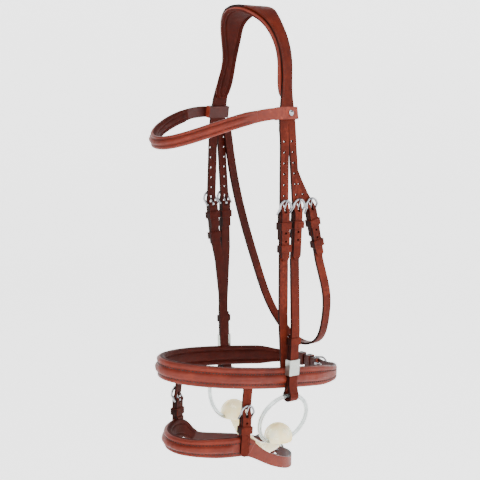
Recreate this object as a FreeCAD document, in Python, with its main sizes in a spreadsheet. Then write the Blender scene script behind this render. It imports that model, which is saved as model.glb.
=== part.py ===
"""Padded English bridle headstall with a combination noseband and a loose-ring plastic bit.

Frame: millimetres, +Z up, the nose points to -Y, the horse's left side is +X.
The origin is on the underside of the headpiece padding, at the middle of the poll.

Every buckle sits in a local frame of its own: the origin is the middle of the frame's bar,
x points outward from the head, y runs along the bar and z points up the strap to the billet.
"""
import FreeCAD, Part
import math
import os
import Sketcher
from FreeCAD import Placement, Rotation, Vector

doc = FreeCAD.newDocument("Bridle")

# ---------------------------------------------------------------- driving dimensions
SIZES = {
    "leather": 3.1,             # thickness of a strap
    "billet": 2.9,              # thickness of a billet
    "lining": 4.5,              # thickness of the soft padding
    "strap_wide": 13.5,         # width of the cheek straps
    "billet_wide": 12.5,        # width of a billet where it passes its buckle
    "lap": 0.15,                # gap between two layers that lie on each other
    "loose": 0.35,              # clearance of a loose keeper or clip
    "curve_room": 0.8,          # a loose keeper on a curved strap is this much roomier
    "bar_radius": 1.3,          # bar of a buckle
    "bore_radius": 1.38,        # eye of a prong on the bar
    "corner_swell": 0.1,        # a frame's corners are this much thicker than its wire
    "wire_radius": 1.4,         # wire of a buckle frame
    "arch_radius": 9.2,         # round top of a buckle frame, to the wire's centre
    "arch_top": 16.4,           # height of the arch above the bar
    "arch_out": 5.1,            # how far the arch stands out from the bar
    "arm_length": 8.8,          # leaning arm of a buckle frame
    "arm_lean": 35.3,           # angle of the arm
    "bar_length": 18.4,
    "prong_radius": 1.0,
    "prong_length": 19.0,
    "prong_lean": 24.9,         # angle of a closed prong
    "eye_radius": 2.5,
    "eye_wide": 3.2,
    "fold_radius": 2.95,        # strap end where it wraps the bar
    "turn_back": 2.2,           # thickness of the turned-back end
    "keeper_wall": 1.3,
    "keeper_high": 9.0,
    "clip_wall": 1.2,
    "clip_high": 20.0,
    "hole_radius": 1.6,
    "hole_pitch": 13.2,
    "side_out": 68.0,           # inner face of the cheek straps, from the middle plane
    "bar_level": -251.0,        # level of the six cheek buckle bars
    "ring_radius": 35.0,
    "ring_wire": 2.6,
    "loop_bore": 4.7,
    "dome_radius": 18.5,
    "mouth_radius": 7.0,
}
sheet = doc.addObject("Spreadsheet::Sheet", "Sizes")
for row, (alias, value) in enumerate(SIZES.items(), 1):
    sheet.set("A%d" % row, alias)
    sheet.set("B%d" % row, str(value))
    sheet.setAlias("B%d" % row, alias)
doc.recompute()


def size(alias):
    """Value of a driving dimension in the sheet."""
    return float(sheet.get(alias))


LEATHER = size("leather")
BILLET = size("billet")
LAP = size("lap")
WIDE = size("strap_wide")
SIDE = size("side_out")
BAR_Z = size("bar_level")
BILLET_OUT = LEATHER + LAP          # inner face of a billet where it lies on its strap
OUTWARD = {"left": 0.0, "right": 180.0}

parts = []
LIFT = 5.4                          # the shapes are drawn this far below the origin's level


def keep(obj, label, placement=None):
    """Name a sub-part and put it in its place."""
    obj.Label = label
    obj.Placement = Placement(Vector(0, 0, LIFT), Rotation()) * (placement or obj.Placement)
    parts.append(obj)
    return obj


def feature(label, shape, placement=None):
    """Sub-part whose curved shape comes from the functions below."""
    obj = doc.addObject("Part::Feature", label)
    obj.Shape = shape
    return keep(obj, label, placement)


# ---------------------------------------------------------------- buckle places
def spot(x, y, z, turn, tip=0.0):
    """Local frame of a buckle on an upright strap: turned about Z, tipped in its own plane."""
    rotation = Rotation(Vector(0, 0, 1), turn) * Rotation(Vector(1, 0, 0), tip)
    return Placement(Vector(x, y, z), rotation)


def chin_spot(y, z, drop):
    """Local frame of a buckle at the back of a noseband: z runs to the left, x points back."""
    rotation = Rotation(Vector(0, 1, 0), Vector(0, 0, 1), Vector(1, 0, 0), "XYZ")
    return Placement(Vector(0, y, z), Rotation(Vector(1, 0, 0), drop) * rotation)


HANGER_Y = {"left": -1.5, "right": -3.7}
CHEEK_Y = {"left": 20.8, "right": 18.5}
THROAT_Y = 44.6
HANGER_TIP = {"left": 0.0, "right": 7.2}
CHEEK_TIP = {"left": -3.4, "right": 1.1}
THROAT_TIP = 13.5
LINK_Z = -503.0
LINK_Y = {"left": -52.6, "right": -75.0}
LINK_LEAN = {"left": 4.5, "right": 2.0}         # the link buckles' tops lean back
LINK_SWAY = {"left": 0.0, "right": -8.0}        # and the strap above them bends to the side

SPOTS = {}
for side, turn in OUTWARD.items():
    sign = 1 if side == "left" else -1
    SPOTS["hanger_" + side] = spot(sign * SIDE, HANGER_Y[side], BAR_Z, turn, sign * HANGER_TIP[side])
    SPOTS["cheek_" + side] = spot(sign * SIDE, CHEEK_Y[side], BAR_Z, turn, sign * CHEEK_TIP[side])
SPOTS["throatlash"] = spot(SIDE, THROAT_Y, BAR_Z, 0, THROAT_TIP)


# ---------------------------------------------------------------- solids from curves
def box(low, high):
    """Box between two corners."""
    return Part.makeBox(high[0] - low[0], high[1] - low[1], high[2] - low[2], Vector(*low))


def bar_cylinder(radius, length, x=0.0, z=0.0):
    """Round bar along y, centred on y = 0."""
    return Part.makeCylinder(radius, length, Vector(x, -length / 2, z), Vector(0, 1, 0))


def across(points, wide):
    """Solid from an outline in the x-z plane, extruded evenly to both sides along y."""
    wire = Part.makePolygon([Vector(x, -wide / 2, z) for x, z in points + points[:1]])
    return Part.Face(wire).extrude(Vector(0, wide, 0))


def outward(points, low, high):
    """Solid from an outline in the y-z plane, extruded along x from low to high."""
    wire = Part.makePolygon([Vector(low, y, z) for y, z in points + points[:1]])
    return Part.Face(wire).extrude(Vector(high - low, 0, 0))


def spline(points):
    """Smooth edge through the points."""
    curve = Part.BSplineCurve()
    curve.interpolate(points)
    return curve.toShape()


def smooth(points, count=18):
    """Points along a smooth line through (y, z) points of an outline."""
    curve = Part.BSplineCurve()
    curve.interpolate([Vector(0, y, z) for y, z in points])
    return [(point.y, point.z) for point in curve.discretize(Number=count)]


def band_solid(corners):
    """Solid between four smooth long edges, given as four lists of points in step."""
    steps = [0.0]
    for last, here in zip(corners[0], corners[0][1:]):
        steps.append(steps[-1] + (here - last).Length)
    curves = []
    for points in corners:
        curve = Part.BSplineCurve()
        curve.interpolate(Points=points, Parameters=steps)
        curves.append(curve)
    faces = []
    for j in range(4):
        poles = [curves[j].getPoles(), curves[(j + 1) % 4].getPoles()]
        surface = Part.BSplineSurface()
        surface.buildFromPolesMultsKnots(poles, [2, 2], curves[0].getMultiplicities(), [0.0, 1.0],
                                         curves[0].getKnots(), False, False, 1, curves[0].Degree)
        faces.append(surface.toShape())
    for end in (0, -1):
        loop = [points[end] for points in corners]
        faces.append(Part.Face(Part.makePolygon(loop + loop[:1])))
    shell = Part.makeShell(faces)
    shell.sewShape()
    solid = Part.Solid(shell)
    if solid.Volume < 0:
        solid.reverse()
    return solid


def ribbon(path, thick, highs):
    """Strap along a path of (middle of the inner face, outward normal).

    highs are the widths along the path. The width direction stands square to the path
    and to the normal.
    """
    corners = [[], [], [], []]
    for i, (here, normal) in enumerate(path):
        ahead = path[min(i + 1, len(path) - 1)][0] - path[max(i - 1, 0)][0]
        up = normal.cross(ahead)
        up.normalize()
        if up.z + up.y * 0.9 < 0:
            up = up * -1
        for j, (rise, out) in enumerate(((-0.5, 0), (0.5, 0), (0.5, 1), (-0.5, 1))):
            corners[j].append(here + up * (rise * highs[i]) + normal * (out * thick))
    return band_solid(corners)


def fuse(first, *others):
    """Union with clean faces."""
    return first.multiFuse(list(others)).removeSplitter()


# ---------------------------------------------------------------- leather ends at a buckle
def strap_end(wide, back_length=32.0, flat_length=32.0):
    """Turned-back end of a strap: it wraps the bar and has a slot for the prong."""
    end = fuse(bar_cylinder(size("fold_radius"), wide),
               box((0, -wide / 2, -flat_length), (LEATHER, wide / 2, 0)),
               box((-size("turn_back"), -wide / 2, -back_length), (0, wide / 2, 0)))
    slot = box((-4, -1.9, -3.2), (5, 1.9, 5))
    return end.cut(bar_cylinder(size("bar_radius") + 0.05, wide + 2)).cut(slot)


def billet_tip(wide, tip):
    """Outline in the y-z plane of a pointed billet end."""
    right = [(wide / 2, tip + 5), (wide / 4, tip + 1)]
    left = [(-wide / 4, tip + 1), (-wide / 2, tip + 5)]
    return right + [(0, tip)] + left


def prong_slot():
    """Slot that a prong needs through the billet."""
    return box((-1, -1.7, 0.9), (9, 1.7, 11.2))


# ---------------------------------------------------------------- buckles, prongs, keepers
def primitive(kind, name, placement, **bound):
    """Part primitive with its sizes bound to the sheet."""
    obj = doc.addObject("Part::" + kind, name)
    for prop, expression in bound.items():
        obj.setExpression(prop, expression)
    obj.Placement = placement
    return obj


def buckle_frame(name, place):
    """Horseshoe frame: bar, two leaning arms and a round arch in front of the billet."""
    along = Rotation(Vector(0, 0, 1), Vector(0, 1, 0))
    bar = primitive("Cylinder", name + "_bar", Placement(Vector(0, -size("bar_length") / 2, 0), along),
                    Radius="Sizes.bar_radius", Height="Sizes.bar_length")
    lean = Rotation(Vector(0, 1, 0), size("arm_lean"))
    arms = []
    for sign in (-1, 1):
        foot = Vector(0, sign * size("arch_radius"), 0)
        arms.append(primitive("Cylinder", name + "_arm", Placement(foot, lean),
                              Radius="Sizes.wire_radius", Height="Sizes.arm_length"))
        shoulder = Vector(size("arch_out"), sign * size("arch_radius"),
                          size("arch_top") - size("arch_radius"))
        for corner in (foot, shoulder):
            arms.append(primitive("Sphere", name + "_corner", Placement(corner, Rotation()),
                                  Radius="Sizes.wire_radius + Sizes.corner_swell"))
    middle = Vector(size("arch_out"), 0, size("arch_top") - size("arch_radius"))
    stand = Rotation(Vector(0, 1, 0), Vector(0, 0, 1), Vector(1, 0, 0), "XYZ")
    arch = primitive("Torus", name + "_arch", Placement(middle, stand), Radius1="Sizes.arch_radius",
                     Radius2="Sizes.wire_radius")
    arch.Angle3 = 180
    frame = doc.addObject("Part::MultiFuse", name)
    frame.Shapes = [bar, arch] + arms
    return keep(frame, name, place)


def prong(name, place):
    """Prong: an eye round the bar and a round pin that rests on the arch."""
    eye_turn = Rotation(Vector(0, 0, 1), Vector(0, 1, 0))
    side = Vector(0, -size("eye_wide") / 2, 0)
    eye = primitive("Cylinder", name + "_eye", Placement(side, eye_turn),
                    Radius="Sizes.eye_radius", Height="Sizes.eye_wide")
    lean = Rotation(Vector(0, 1, 0), size("prong_lean"))
    pin = primitive("Cone", name + "_pin", Placement(Vector(0, 0, 0), lean),
                    Radius1="Sizes.prong_radius * 1.2", Radius2="Sizes.prong_radius * 0.8",
                    Height="Sizes.prong_length")
    body = doc.addObject("Part::Fuse", name + "_blank")
    body.Base = eye
    body.Tool = pin
    bore = primitive("Cylinder", name + "_bore", Placement(side * 2, eye_turn),
                     Radius="Sizes.bore_radius", Height="Sizes.eye_wide * 2")
    cut = doc.addObject("Part::Cut", name)
    cut.Base = body
    cut.Tool = bore
    return keep(cut, name, place)


def plane(body, role):
    """Origin plane of a body."""
    return [item for item in body.Origin.OriginFeatures if item.Role == role][0]


def add_rectangle(sketch, wide, high, name):
    """Rectangle round the sketch's origin with both sizes bound to expressions."""
    first = sketch.GeometryCount
    corners = [Vector(-5, -5, 0), Vector(5, -5, 0), Vector(5, 5, 0), Vector(-5, 5, 0)]
    for i in range(4):
        sketch.addGeometry(Part.LineSegment(corners[i], corners[(i + 1) % 4]), False)
    for i in range(4):
        sketch.addConstraint(make_constraint("Coincident", first + i, 2, first + (i + 1) % 4, 1))
    for i, kind in enumerate(("Horizontal", "Vertical", "Horizontal", "Vertical")):
        sketch.addConstraint(make_constraint(kind, first + i))
    sketch.addConstraint(make_constraint("Symmetric", first, 1, first + 2, 1, -1, 1))
    for kind, line, expression in (("DistanceX", first, wide), ("DistanceY", first + 1, high)):
        index = sketch.addConstraint(make_constraint(kind, line, 1, line, 2, 10.0))
        label = name + kind
        sketch.renameConstraint(index, label)
        sketch.setExpression("Constraints." + label, expression)


def make_constraint(*values):
    """Sketch constraint."""
    return Sketcher.Constraint(*values)


STRAP_ROOM = "Sizes.strap_wide + 2 * Sizes.loose"


def sleeve(name, deep, wall, high, place, inner_wide=STRAP_ROOM):
    """Rectangular sleeve round a strap: deep is its inner size along x.

    The sketch lies across the strap and the pad runs evenly up and down along it.
    """
    body = doc.addObject("PartDesign::Body", name)
    sketch = body.newObject("Sketcher::SketchObject", name + "_section")
    sketch.AttachmentSupport = [(plane(body, "XY_Plane"), "")]
    sketch.MapMode = "FlatFace"
    add_rectangle(sketch, deep, inner_wide, "inner")
    add_rectangle(sketch, "%s + 2 * %s" % (deep, wall), "%s + 2 * %s" % (inner_wide, wall), "outer")
    pad = body.newObject("PartDesign::Pad", name + "_wall")
    pad.Profile = sketch
    pad.Midplane = True
    pad.setExpression("Length", high)
    doc.recompute()
    edges = ["Edge%d" % (i + 1) for i, edge in enumerate(pad.Shape.Edges) if upright_outer(edge)]
    fillet = body.newObject("PartDesign::Fillet", name + "_round")
    fillet.Base = (pad, edges)
    fillet.setExpression("Radius", wall + " * 0.7")
    body.Tip = fillet
    return keep(body, name, place)


def upright_outer(edge):
    """True for the four long outer corners of a sleeve."""
    first, last = edge.Vertexes[0].Point, edge.Vertexes[-1].Point
    upright = abs(first.z - last.z) > 1
    return upright and abs(first.y) > size("strap_wide") / 2 + size("loose") + 0.5


def at(place, x, z):
    """Placement shifted in the buckle's own frame."""
    return place * Placement(Vector(x, 0, z), Rotation())


FIXED_KEEPER_Z = -15.0
RUNNING_KEEPER_Z = -43.0
STACK = LEATHER + LAP + BILLET
FIXED_DEPTH = "Sizes.turn_back + Sizes.leather + Sizes.lap + Sizes.billet + 2 * Sizes.lap"
RUNNING_DEPTH = "Sizes.leather + Sizes.lap + Sizes.billet + 2 * Sizes.loose"
FIXED_X = (STACK - size("turn_back")) / 2
RUNNING_X = STACK / 2
CURVE_ROOM = " + Sizes.curve_room"      # the chin straps curve inside their loose keepers


def buckle_set(name, place, running_place=None, room=""):
    """Frame, prong and keepers of one buckle. running_place is its loose keeper's frame."""
    buckle_frame(name + "_buckle", place)
    prong(name + "_prong", place)
    sleeve(name + "_keeper", FIXED_DEPTH, "Sizes.keeper_wall", "Sizes.keeper_high",
           at(place, FIXED_X, FIXED_KEEPER_Z))
    if running_place:
        sleeve(name + "_running_keeper", RUNNING_DEPTH + room, "Sizes.keeper_wall",
               "Sizes.keeper_high", at(running_place, RUNNING_X, 0), STRAP_ROOM + room)


# ---------------------------------------------------------------- headpiece
ARCH = [(0, -0.9), (17, -3.4), (30.8, -12), (43, -30.5), (53, -65.5), (60.3, -104), (65, -130), (67.6, -159),
        (68, -189)]
BILLET_DROP = -59.0         # tip of a billet below its bar
# Each billet: y at its bar, lean below it in degrees, then its upper holes: y at the bar's level,
# how far they move forward for each millimetre upward, and how many there are.
BILLETS = {
    "left": [(HANGER_Y["left"], HANGER_TIP["left"], -1.8, 0.0, 6),
             (CHEEK_Y["left"], CHEEK_TIP["left"], 20.6, 0.115, 6),
             (THROAT_Y, THROAT_TIP, 41.7, 0.55, 2)],
    "right": [(HANGER_Y["right"], HANGER_TIP["right"], -3.9, 0.03, 6),
              (CHEEK_Y["right"], CHEEK_TIP["right"], 18.2, 0.02, 6)],
}


def arch_curve(offset, last):
    """Points of the arch from its top down the left leg, moved outward by offset."""
    points = []
    count = len(ARCH)
    for i, (x, z) in enumerate(ARCH[:last]):
        back = ARCH[max(i - 1, 0)]
        ahead = ARCH[min(i + 1, count - 1)]
        run, fall = ahead[0] - back[0], ahead[1] - back[1]
        if i == 0:
            run, fall = 1.0, 0.0
        length = math.hypot(run, fall)
        points.append(Vector(x - fall / length * offset, 0, z + run / length * offset))
    return points


def arch_band(low, high, last, tail):
    """Left half of the arch between two offsets, as a solid wide enough to be cut to outline.

    tail is the outline that follows down the leg: inner points, then outer points upward.
    """
    inner = arch_curve(low, last)
    outer = arch_curve(high, last)
    edges = [spline(inner), spline(outer)]
    loop = [inner[-1]] + [Vector(x, 0, z) for x, z in tail] + [outer[-1]]
    edges.append(Part.makePolygon(loop))
    edges.append(Part.makeLine(inner[0], outer[0]))
    flat = []
    for edge in edges:
        flat.extend(edge.Edges)
    face = Part.Face(Part.Wire(Part.__sortEdges__(flat)))
    face.translate(Vector(0, -60, 0))
    return face.extrude(Vector(0, 190, 0))


# Front and rear edges (y, z) of the crown strap and of its padding; the right leg is wider in front.
CROWN_FRONT = {
    "left": [(-20, -1.5), (-7, -14), (1.5, -31), (7, -65), (1, -104), (-6, -130)],
    "right": [(-20, -1.5), (-14, -14), (-6.5, -31), (3.5, -65), (-3.5, -104), (-6.5, -130)],
}
CROWN_REAR = {
    "left": [(23.5, -65), (21.5, -31), (20, -14), (24, -1.5)],
    "right": [(21, -65), (21.5, -31), (20, -14), (24, -1.5)],
}
PAD_FRONT = {
    "left": [(-23, -1.5), (-11, -14), (-1, -31), (4.5, -65), (0, -98), (1, -110)],
    "right": [(-23, -1.5), (-17, -14), (-9.5, -31), (0.5, -65), (-5, -98), (-4, -110)],
}
PAD_REAR = {
    "left": [(13, -110), (18.5, -98), (24.5, -65), (23.5, -31), (22.5, -14), (26, -1.5)],
    "right": [(13, -110), (18.5, -98), (22, -65), (23.5, -31), (22.5, -14), (26, -1.5)],
}


def leg_outline(side):
    """Outline in the y-z plane of one side of the headpiece with its billets."""
    narrow = size("billet_wide") / 2
    cheek_y = CHEEK_Y[side]
    sign = 1 if side == "left" else -1
    hanger_run = math.tan(math.radians(HANGER_TIP[side]))
    cheek_run = math.tan(math.radians(CHEEK_TIP[side]))
    front = [(-20, 30)] + smooth(CROWN_FRONT[side] + [(-7.5, -159)])
    hanger = billet_outline(HANGER_Y[side], hanger_run, narrow, -6 if side == "left" else 9)
    cheek = billet_outline(cheek_y, cheek_run, narrow, -4)
    slit = [(5.4, -159), (5.5, -142), (6.1, -142), (6.2, -159)]
    outline = front + hanger + slit + cheek
    if side == "left":
        throat = billet_outline(THROAT_Y, math.tan(math.radians(THROAT_TIP)), narrow, 9)
        outline[-1] = (cheek_y + narrow, BAR_Z + 15)
        outline += throat + [(38.5, -229), (28.5, -212.8), (20.8, -198.6), (18.2, -172)]
    else:
        outline += [(19.5, -184)]
    return outline + smooth([(17.5, -159), (17, -130), (17.5, -104)] + CROWN_REAR[side]) + [(24, 30)]


def billet_outline(y, run, narrow, top):
    """Outline of one billet from its front shoulder round its tip to its rear shoulder.

    run is how far the billet moves back for each millimetre that it falls.
    """
    points = [(y - narrow - run * top, BAR_Z + top)]
    for across_y, z in reversed(billet_tip(narrow * 2, BILLET_DROP)):
        points.append((y + across_y - run * z, BAR_Z + z))
    points.append((y + narrow - run * top, BAR_Z + top))
    return points


def headpiece_side(side):
    """One half of the headpiece, from the poll to its billet tips."""
    tip = BAR_Z + BILLET_DROP
    out = BILLET_OUT + SIDE
    tail = [(SIDE, BAR_Z + 10.4), (out, BAR_Z + 0.5), (out, tip - 1)]
    tail += [(x + BILLET, z) for x, z in reversed(tail)]
    band = arch_band(0, BILLET, len(ARCH), tail)
    half = band.common(outward(leg_outline(side), -1, 90))
    cuts = []
    for y, tip_angle, upper_y, upper_run, count in BILLETS[side]:
        run = math.tan(math.radians(tip_angle))
        holes = [(upper_y - upper_run * z, z) for z in (22 + size("hole_pitch") * i for i in range(count))]
        holes += [(y - run * z, z) for z in (-24.0, -34.0)]
        for hole_y, z in holes:
            start = Vector(40, hole_y, BAR_Z + z)
            cuts.append(Part.makeCylinder(size("hole_radius"), 60, start, Vector(1, 0, 0)))
        for cut in (prong_slot(), bar_cylinder(size("fold_radius") + LAP, WIDE + 4)):
            cut.Placement = spot(SIDE, y, BAR_Z, 0, tip_angle)
            cuts.append(cut)
    half = half.cut(Part.makeCompound(cuts))
    if side == "right":
        half = half.mirror(Vector(0, 0, 0), Vector(1, 0, 0))
    return half


def headpiece():
    """Crown strap with three billets on the left and two on the right."""
    feature("headpiece", fuse(headpiece_side("left"), headpiece_side("right")))


def headpiece_padding():
    """Soft lining under the crown, down both legs to the browband."""
    band = arch_band(-size("lining"), -LAP, 6, [])
    halves = []
    for side in OUTWARD:
        outline = [(-23, 30)] + smooth(PAD_FRONT[side]) + smooth(PAD_REAR[side]) + [(26, 30)]
        half = band.common(outward(outline, -1, 90))
        if side == "right":
            half = half.mirror(Vector(0, 0, 0), Vector(1, 0, 0))
        halves.append(half)
    feature("headpiece_padding", fuse(*halves))


# ---------------------------------------------------------------- cheekpieces, clips, rings
LOOP_X = 8.05               # middle of the ring loop, out from the strap's inner face
LOOP_Z = -231.5             # middle of the ring loop, below the bar
LOOP_TOP = -217.0
STRAIGHT_Z = -148.0         # the strap stands straight below this
END_Z = -153.0              # upper end of the turned-back layer
INNER_LAYER = 3.0
CLIP_Z = -195.0
LOOP_KEEPER_Z = -161.5


def cheekpiece(side):
    """Cheek strap: buckle end at the top, and a turned-back loop round the ring."""
    outer_in = LOOP_X + LAP
    inner_out = LOOP_X - LAP
    bore = size("loop_bore")
    wall = bore + 2.9
    strap = across([(0, -20), (0, -61), (outer_in, STRAIGHT_Z), (outer_in, LOOP_TOP),
                    (outer_in + LEATHER, LOOP_TOP), (outer_in + LEATHER, STRAIGHT_Z), (LEATHER, -61),
                    (LEATHER, -20)], WIDE)
    inner = across([(inner_out - INNER_LAYER, END_Z), (inner_out, END_Z), (inner_out, LOOP_TOP),
                    (inner_out - INNER_LAYER, LOOP_TOP)], WIDE)
    flare = across([(inner_out - INNER_LAYER, LOOP_TOP), (outer_in + LEATHER, LOOP_TOP),
                    (LOOP_X + wall, LOOP_Z), (LOOP_X - wall, LOOP_Z)], WIDE)
    hollow = across([(inner_out, LOOP_TOP), (outer_in, LOOP_TOP), (LOOP_X + bore, LOOP_Z),
                     (LOOP_X - bore, LOOP_Z)], WIDE)
    loop = fuse(flare, bar_cylinder(wall, WIDE, LOOP_X, LOOP_Z))
    loop = loop.cut(hollow).cut(bar_cylinder(bore, WIDE, LOOP_X, LOOP_Z))
    place = SPOTS["cheek_" + side]
    feature("cheekpiece_" + side, fuse(strap_end(WIDE), strap, inner, loop), place)
    depth = "Sizes.leather + %s + 2 * Sizes.lap + 2 * Sizes.loose" % INNER_LAYER
    middle = (inner_out - INNER_LAYER + outer_in + LEATHER) / 2
    sleeve("bit_clip_" + side, depth, "Sizes.clip_wall", "Sizes.clip_high", at(place, middle, CLIP_Z))
    sleeve("cheek_%s_running_keeper" % side, depth, "Sizes.keeper_wall", "Sizes.keeper_high",
           at(place, middle, LOOP_KEEPER_Z))


RING_TILT = 16.5            # the foot of each ring leans inward
RING_YAW = 9.0
RING_TURN = 8.0             # the loop holds the wire this far behind the ring's top


def ring_frame(side):
    """Rotation of a ring: x is its axis pointing outward, z points to its top."""
    sign = 1 if side == "left" else -1
    turn = Rotation(Vector(0, 0, 1), (0 if side == "left" else 180) - sign * RING_YAW)
    return turn * Rotation(Vector(0, 1, 0), RING_TILT)


def ring_centre(side):
    """Centre of a ring: its wire runs through the middle of the cheekpiece's loop."""
    loop = at(SPOTS["cheek_" + side], LOOP_X, LOOP_Z).Base
    sign = 1 if side == "left" else -1
    angle = math.radians(RING_TURN)
    reach = Vector(0, sign * math.sin(angle), math.cos(angle)) * size("ring_radius")
    return loop - ring_frame(side).multVec(reach)


def bit_ring(side):
    """Loose ring of the bit."""
    stand = ring_frame(side) * Rotation(Vector(0, 1, 0), 90)
    ring = primitive("Torus", "bit_ring_" + side, Placement(ring_centre(side), stand),
                     Radius1="Sizes.ring_radius", Radius2="Sizes.ring_wire")
    keep(ring, "bit_ring_" + side)


def mouthpiece():
    """Soft bar that sags between two domes, with a bore in each dome for its ring."""
    ends = {}
    solid = []
    for side in OUTWARD:
        foot = ring_centre(side) - ring_frame(side).multVec(Vector(0, 0, size("ring_radius")))
        axis = ring_frame(side).multVec(Vector(-0.34, 0, 0.94))
        middle = foot + ring_frame(side).multVec(Vector(-3, 0, 6))
        dome = Part.makeSphere(size("dome_radius"), middle, axis, -15, 90, 360)
        ends[side] = middle - axis * 3
        solid.append(dome)
    start, end = ends["right"], ends["left"]
    span = end - start
    route = []
    for share, drop in ((0, 0), (0.16, 16), (0.34, 24), (0.5, 26), (0.66, 24), (0.84, 16), (1, 0)):
        route.append(start + span * share - Vector(0, 0, drop))
    pipe_path = Part.Wire([spline(route)])
    first = route[1] - route[0]
    section = Part.Wire([Part.makeCircle(size("mouth_radius"), route[0], first)])
    bar = pipe_path.makePipeShell([section], True, True)
    solid.append(bar)
    body = fuse(*solid)
    for side in OUTWARD:
        stand = ring_frame(side) * Rotation(Vector(0, 1, 0), 90)
        bore = Part.makeTorus(size("ring_radius"), size("ring_wire") + 1.2)
        bore.Placement = Placement(ring_centre(side), stand)
        body = body.cut(bore)
    feature("mouthpiece", body)


# ---------------------------------------------------------------- nosebands
def plan_point(band, angle, offset):
    """Point and outward normal of a noseband's inner face at a plan angle in degrees.

    Angle 0 is the left side, 90 the back, 180 the right side and 270 the nose. The nose half
    is an ellipse and the back half is a squarer one, so that its buckle lies on a flat.
    """
    turn = math.radians(angle)
    cos, sin = math.cos(turn), math.sin(turn)
    power = 2.0 / (band["square"] if sin > 0 else 2.0)
    long = band["back"] if sin > 0 else band["front"]
    x = band["half"] * math.copysign(abs(cos) ** power, cos)
    y = band["middle"] + long * math.copysign(abs(sin) ** power, sin)
    fold = 2.0 / power
    slope_x = math.copysign(abs(x / band["half"]) ** (fold - 1), x) / band["half"]
    slope_y = math.copysign(abs((y - band["middle"]) / long) ** (fold - 1), y - band["middle"]) / long
    normal = Vector(slope_x, slope_y, 0)
    normal.normalize()
    here = Vector(x, y, 0) + normal * offset
    here.z = band["level"](x, y)
    return here, normal


def upper_level(x, y):
    """The upper noseband lies in one plane that falls to the back."""
    return -460.0 - 0.157 * y


def ease(y, start, end):
    """Smooth step from 0 at start to 1 at end."""
    share = min(1.0, max(0.0, (y - start) / (end - start)))
    return share * share * (3 - 2 * share)


def hang(points, y):
    """Smooth line through (y, drop) points, level before the first and after the last."""
    y = min(max(y, points[0][0]), points[-1][0])
    i = max(k for k in range(len(points) - 1) if points[k][0] <= y)
    slopes = []
    for k in (i, i + 1):
        before, after = points[max(k - 1, 0)], points[min(k + 1, len(points) - 1)]
        slopes.append((after[1] - before[1]) / (after[0] - before[0]))
    (start, low), (stop, high) = points[i], points[i + 1]
    run = stop - start
    t = (y - start) / run
    return (low * (1 + 2 * t) * (1 - t) ** 2 + high * t * t * (3 - 2 * t)
            + run * t * (1 - t) * (slopes[0] * (1 - t) - slopes[1] * t))


DROP = {
    "left": [(-121, 2.2), (-90, 1.2), (-68, 0), (-56, -1), (-46, -5), (-28, -19), (-4, -32), (22, -42.5),
             (45, -45.5)],
    "right": [(-121, 2.2), (-100, 1.5), (-82, -0.5), (-66, -7), (-48, -21), (-31, -29), (6, -39), (32, -44.5),
              (45, -45.5)],
}


def lower_level(x, y):
    """The lower noseband is level over the nose, and its chin strap hangs lower."""
    return -539.0 + hang(DROP["left" if x > 0 else "right"], y)


def lower_high(x, y):
    """The lower noseband narrows to a strap just behind its two tabs."""
    tab = LINK_Y["left" if x > 0 else "right"]
    return 19.0 + 3.0 * ease(y, -116, -82) - 7.5 * ease(y, tab + 1, tab + 23)


UPPER = {"half": 66.9, "front": 134.4, "back": 123.0, "middle": 3.0, "square": 3.5, "level": upper_level}
LOWER = {"half": 58.4, "front": 89.0, "back": 77.0, "middle": -32.0, "square": 3.5, "level": lower_level}
UPPER["high"] = lambda x, y: 24.0 - 7.0 * ease(y, 70, 120)
LOWER["high"] = lower_high
CHIN_KEEPER_Z = -29.0       # the loose keeper behind the chin lies close to the buckle
CHIN_TURN = 20.5            # so the strap's turned-back end is short there
CHIN_FLAT = 28.5            # and its flat outer face ends where the strap starts to curve
CHIN_START = 30.0           # the buckle's flat runs this far to each side of the middle


def angle_at(band, x):
    """Plan angle on the back half where the band is x from the middle plane."""
    share = abs(x) / band["half"]
    angle = math.degrees(math.acos(min(1.0, share ** (band["square"] / 2.0))))
    return angle if x > 0 else 180 - angle


def nose_angle(band, y, side):
    """Plan angle on the nose half where the band is at y, on one side."""
    angle = math.degrees(math.asin((y - band["middle"]) / band["front"]))
    return angle if side == "left" else 180 - angle


def spread(first, last, count):
    """Evenly spaced values."""
    return [first + (last - first) * i / (count - 1) for i in range(count)]


def chin_place(band):
    """Local frame of the buckle behind the chin."""
    y = band["middle"] + band["back"]
    return chin_spot(y, band["level"](0, y), 0)


def chin_keeper_place(band):
    """Frame of the loose keeper round the curved strap behind the chin."""
    angle = angle_at(band, CHIN_KEEPER_Z)
    here, normal = plan_point(band, angle, 0)
    along = plan_point(band, angle - 1, 0)[0] - plan_point(band, angle + 1, 0)[0]
    along.normalize()
    return Placement(here, Rotation(normal, along.cross(normal), along, "ZXY"))


CHINS = {"noseband": UPPER, "lower_noseband": LOWER}


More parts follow.
